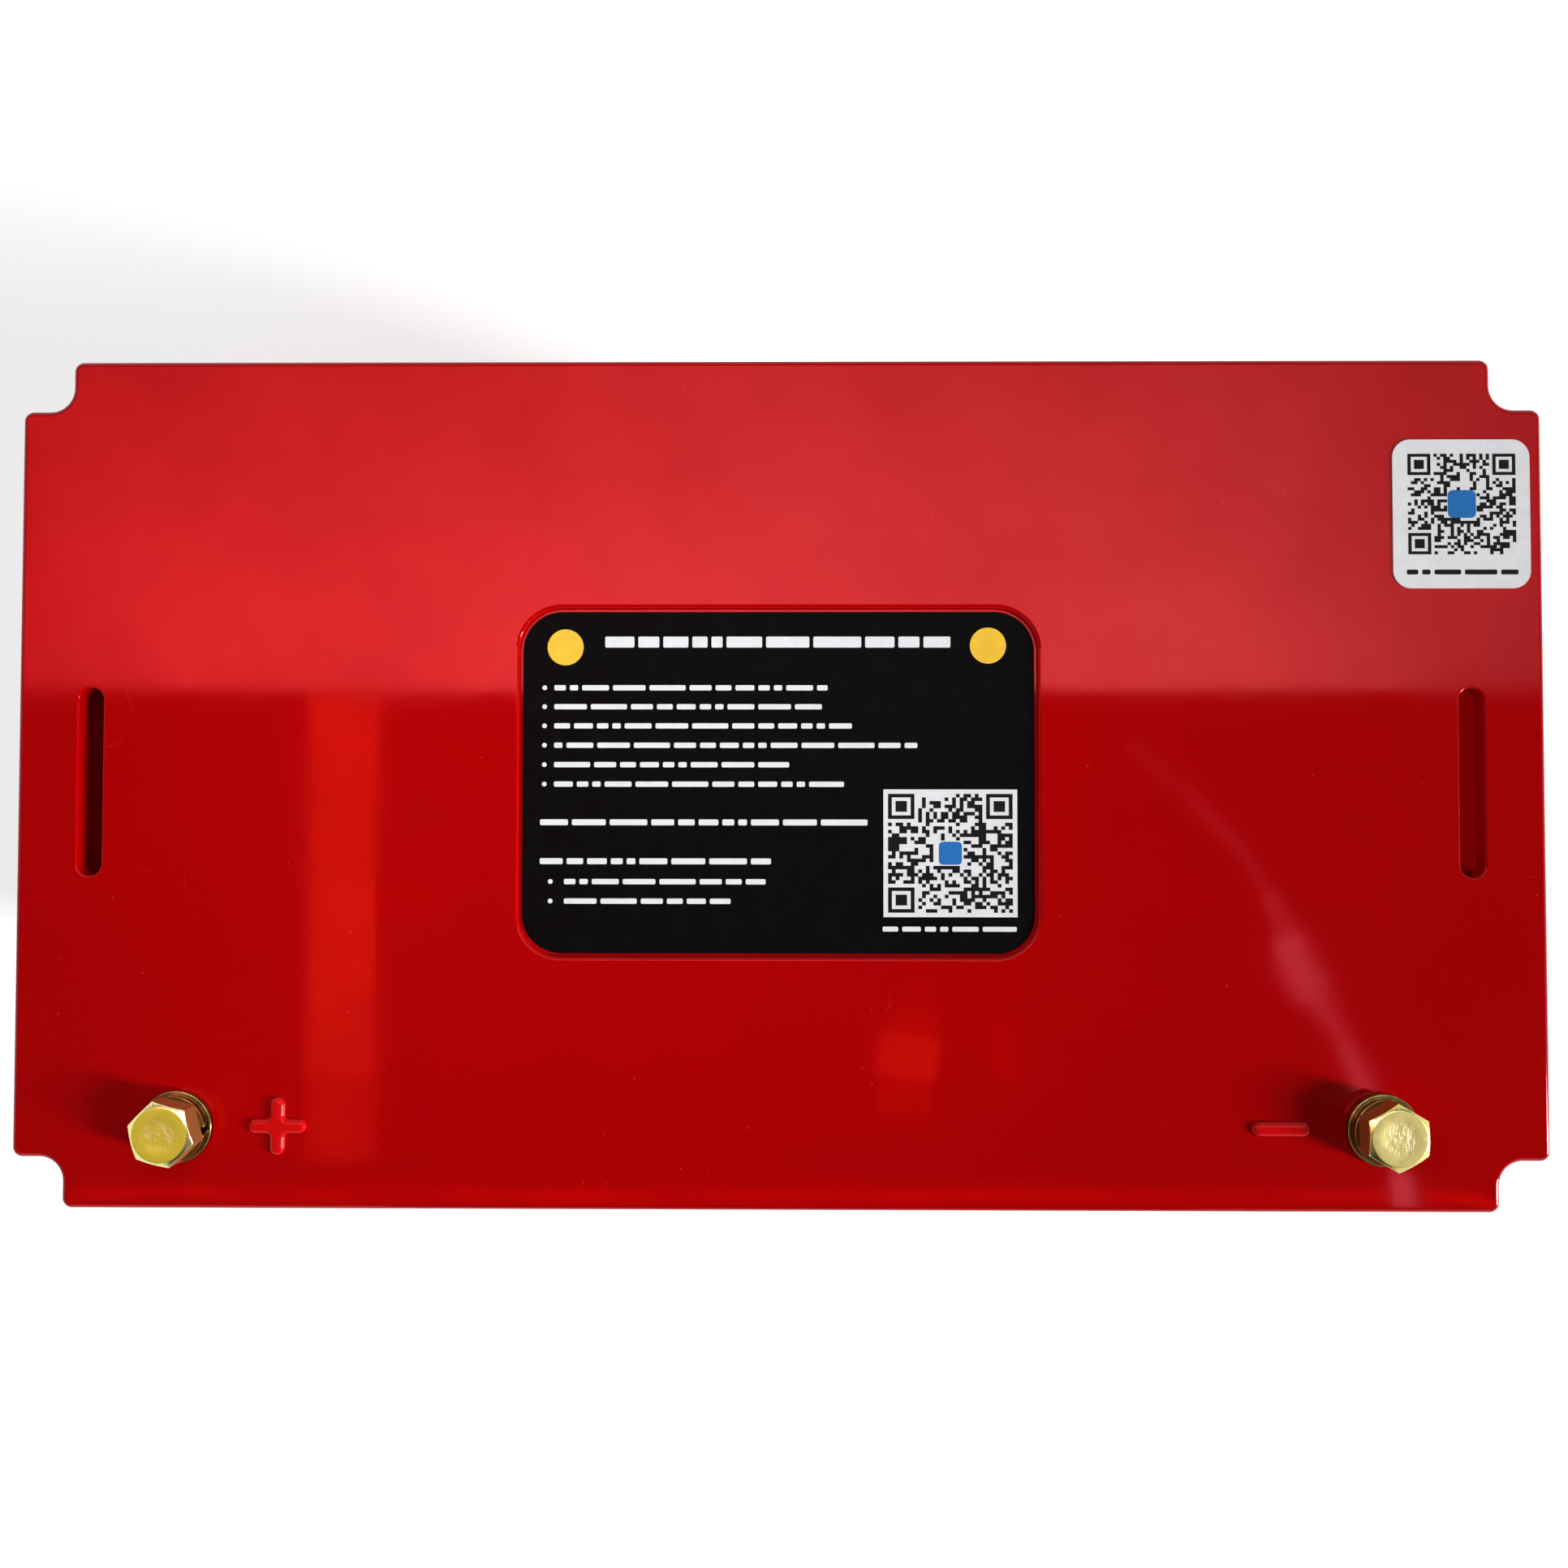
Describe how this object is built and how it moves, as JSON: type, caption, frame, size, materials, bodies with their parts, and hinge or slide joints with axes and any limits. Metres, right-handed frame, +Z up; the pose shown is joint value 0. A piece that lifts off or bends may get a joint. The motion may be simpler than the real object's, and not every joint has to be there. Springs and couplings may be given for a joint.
{
  "type": "battery block",
  "caption": "Sealed lithium battery block: a notched-corner box of prismatic cells with a protection board, a flat lid with strap slots and M8 bolt terminals.",
  "frame": {"origin": "middle of the case's flat underside", "axes": "+X along the case towards the negative terminal's end, +Y from the terminals' long side to the back, +Z up out of the lid"},
  "size_m": [0.345, 0.192, 0.2449],
  "materials": {
    "case_plastic": "glossy moulded ABS",
    "lid_plastic": "glossy moulded ABS",
    "bonding_bead": "cured adhesive",
    "label_film": "glossy printed film",
    "sticker_film": "glossy printed film",
    "terminal_brass": "turned",
    "seal_rubber": "matt",
    "washer_steel": "yellow zinc plated",
    "spring_steel": "yellow zinc plated",
    "bolt_steel": "yellow zinc plated",
    "can_aluminium": "drawn",
    "electrode_coating": "coated foil, matt",
    "pole_copper": "machined copper",
    "blue_plastic": "moulded",
    "separator_sheet": "satin sheet",
    "copper_bar": "rolled copper",
    "zinc_steel": "zinc plated",
    "glass_epoxy": "satin sheet",
    "band_steel": "rolled",
    "heater_film": "polyimide film",
    "white_foam": "closed-cell foam",
    "circuit_board": "solder mask",
    "black_plastic": "moulded",
    "sink_aluminium": "extruded",
    "standoff_brass": "turned",
    "connector_plastic": "moulded",
    "wire_cover": "matt",
    "sensor_cover": "matt",
    "module_cover": "solder mask"
  },
  "bodies": {
    "root": {"case_body": "case_plastic", "lid": "lid_plastic", "lid_seal": "bonding_bead", "info_label": "label_film", "code_sticker": "sticker_film", "positive_terminal": "terminal_brass", "negative_terminal": "terminal_brass", "terminal_rings": "seal_rubber", "cell_can_1": "can_aluminium", "cell_can_2": "can_aluminium", "cell_can_3": "can_aluminium", "cell_can_4": "can_aluminium", "cell_covers": "can_aluminium", "electrode_rolls": "electrode_coating", "cell_positive_poles": "can_aluminium", "cell_negative_poles": "pole_copper", "pole_insulators": "blue_plastic", "vent_discs": "can_aluminium", "filling_plugs": "can_aluminium", "cell_separators": "separator_sheet", "busbar_1_2": "copper_bar", "busbar_2_3": "copper_bar", "busbar_3_4": "copper_bar", "busbar_nuts": "zinc_steel", "positive_busbar": "copper_bar", "pack_negative_bar": "copper_bar", "output_negative_bar": "copper_bar", "terminal_screws": "zinc_steel", "left_end_plate": "glass_epoxy", "right_end_plate": "glass_epoxy", "compression_bands": "band_steel", "front_heater": "heater_film", "back_heater": "heater_film", "front_board": "glass_epoxy", "back_board": "glass_epoxy", "base_foam": "white_foam", "side_foam": "white_foam", "left_end_foam": "white_foam", "right_end_foam": "white_foam", "top_board": "glass_epoxy", "top_foam": "white_foam", "protection_board": "circuit_board", "power_transistors": "black_plastic", "heat_sink": "sink_aluminium", "board_standoffs": "standoff_brass", "board_screws": "zinc_steel", "bar_screws": "zinc_steel", "sense_connector": "connector_plastic", "sense_wires": "wire_cover", "temperature_sensor": "sensor_cover", "radio_module": "module_cover"},
    "positive_washers": {"positive_flat_washer": "washer_steel", "positive_spring_washer": "spring_steel"},
    "positive_bolt": {"positive_bolt": "bolt_steel"},
    "negative_washers": {"negative_flat_washer": "washer_steel", "negative_spring_washer": "spring_steel"},
    "negative_bolt": {"negative_bolt": "bolt_steel"}
  },
  "joints": [
    {"name": "positive_bolt_turn", "type": "hinge", "parent": "root", "child": "positive_washers", "pos_m": [-0.1345, -0.07725, 0.236], "axis": [0, 0, 1], "range_deg": [0, 3600]},
    {"name": "positive_bolt_lift", "type": "slide", "parent": "positive_washers", "child": "positive_bolt", "axis": [0, 0, 1], "range_m": [0, 0.0126]},
    {"name": "negative_bolt_turn", "type": "hinge", "parent": "root", "child": "negative_washers", "pos_m": [0.1345, -0.07725, 0.236], "axis": [0, 0, 1], "range_deg": [0, 3600]},
    {"name": "negative_bolt_lift", "type": "slide", "parent": "negative_washers", "child": "negative_bolt", "axis": [0, 0, 1], "range_m": [0, 0.0126]}
  ],
  "couplings": [
    {"joint": "positive_bolt_lift", "follows": "positive_bolt_turn", "m_per_rad": 0.00019894},
    {"joint": "negative_bolt_lift", "follows": "negative_bolt_turn", "m_per_rad": 0.00019894}
  ]
}
